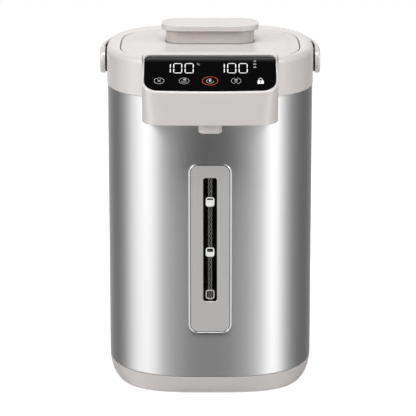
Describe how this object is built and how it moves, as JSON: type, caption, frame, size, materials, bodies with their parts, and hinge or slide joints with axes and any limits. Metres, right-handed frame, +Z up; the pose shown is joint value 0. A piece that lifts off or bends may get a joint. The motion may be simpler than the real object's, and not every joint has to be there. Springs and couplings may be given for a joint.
{
  "type": "electric thermo pot",
  "caption": "Electric hot-water dispenser: brushed steel body with level window, sloping display console over a spout, hinged lid with a lift-up grip, and a bail handle.",
  "frame": {"origin": "axis of the steel body where it meets the standing plane", "axes": "+Z up; the console, spout and level window face -Y; +X to the right as seen from the front"},
  "size_m": [0.223, 0.2682, 0.3576],
  "materials": {
    "brushed_sleeve": "horizontally brushed stainless steel",
    "brushed_steel": "satin stainless steel",
    "bright_steel": "bright steel",
    "chrome_rim": "bright chrome",
    "satin_grey": "satin silver-grey",
    "grey_plastic": "warm light grey, semi-gloss",
    "pale_plastic": "pale warm grey, semi-gloss",
    "black_gloss": "black, glossy",
    "black_matt": "black, matt",
    "smoked_window": "dark clear window",
    "clear_tube": "clear tube",
    "silicone": "translucent silicone",
    "grey_rubber": "matt",
    "cast_aluminium": "as cast",
    "board_green": "circuit board"
  },
  "bodies": {
    "pot": {"outer_shell": "brushed_sleeve", "base_housing": "grey_plastic", "bottom_plate": "grey_plastic", "foot_ring": "grey_rubber", "base_screws": "bright_steel", "tie_rods": "bright_steel", "collar": "grey_plastic", "head_housing": "grey_plastic", "head_cover": "grey_plastic", "display_window": "black_gloss", "light_mask": "black_matt", "display_board": "board_green", "touch_contacts": "silicone", "spout_nozzle": "pale_plastic", "outlet_pipe": "silicone", "stop_valve": "pale_plastic", "sight_tube": "clear_tube", "lower_hose": "silicone", "level_channel": "black_matt", "level_frame": "chrome_rim", "level_plate": "satin_grey", "level_lens": "smoked_window", "inner_pot": "brushed_steel", "pot_neck": "brushed_steel", "pot_gasket": "silicone", "heater_plate": "cast_aluminium", "temperature_sensor": "bright_steel", "thermal_cutouts": "black_matt", "heat_shield": "bright_steel", "pump_motor": "bright_steel", "pump_housing": "pale_plastic", "pump_cover": "pale_plastic", "suction_hose": "silicone", "power_board": "board_green", "power_inlet": "black_matt", "hinge_pin": "bright_steel", "handle_pivots": "bright_steel"},
    "lid": {"lid_shell": "pale_plastic", "lid_inner_cover": "pale_plastic", "lid_dish": "brushed_steel", "lid_gasket": "silicone", "steam_vent": "pale_plastic", "steam_duct": "silicone", "lid_screws": "bright_steel", "grip_springs": "bright_steel"},
    "grip": {"grip_neck": "grey_plastic", "grip_cap": "pale_plastic"},
    "latch": {"latch_bolt": "pale_plastic"},
    "bail": {"handle": "grey_plastic"},
    "rotor": {"motor_rotor": "bright_steel"},
    "wheel": {"impeller": "pale_plastic"},
    "ball": {"stop_valve_ball": "bright_steel"}
  },
  "joints": [
    {"name": "lid_hinge", "type": "hinge", "parent": "pot", "child": "lid", "pos_m": [0, 0.0788, 0.338], "axis": [-1, 0, 0], "range_deg": [0, 95]},
    {"name": "grip_lift", "type": "slide", "parent": "lid", "child": "grip", "axis": [0, 0, 1], "range_m": [0, 0.0035], "stiffness_N_per_m": 400, "springref_m": -0.006, "deforming": ["grip_springs"]},
    {"name": "latch_slide", "type": "slide", "parent": "lid", "child": "latch", "axis": [0, 1, 0], "range_m": [0, 0.0035]},
    {"name": "handle_swing", "type": "hinge", "parent": "pot", "child": "bail", "pos_m": [0, 0, 0.318], "axis": [1, 0, 0], "range_deg": [0, 165]},
    {"name": "motor_spin", "type": "hinge", "parent": "pot", "child": "rotor", "pos_m": [0, -0.073, 0.02], "axis": [0, 0, 1], "continuous": true},
    {"name": "impeller_spin", "type": "hinge", "parent": "pot", "child": "wheel", "pos_m": [0, -0.073, 0.03], "axis": [0, 0, 1], "continuous": true},
    {"name": "ball_lift", "type": "slide", "parent": "pot", "child": "ball", "axis": [0, 0, 1], "range_m": [0, 0.004]}
  ],
  "couplings": [
    {"joint": "latch_slide", "follows": "grip_lift", "ratio": 1},
    {"joint": "impeller_spin", "follows": "motor_spin", "ratio": 1}
  ]
}
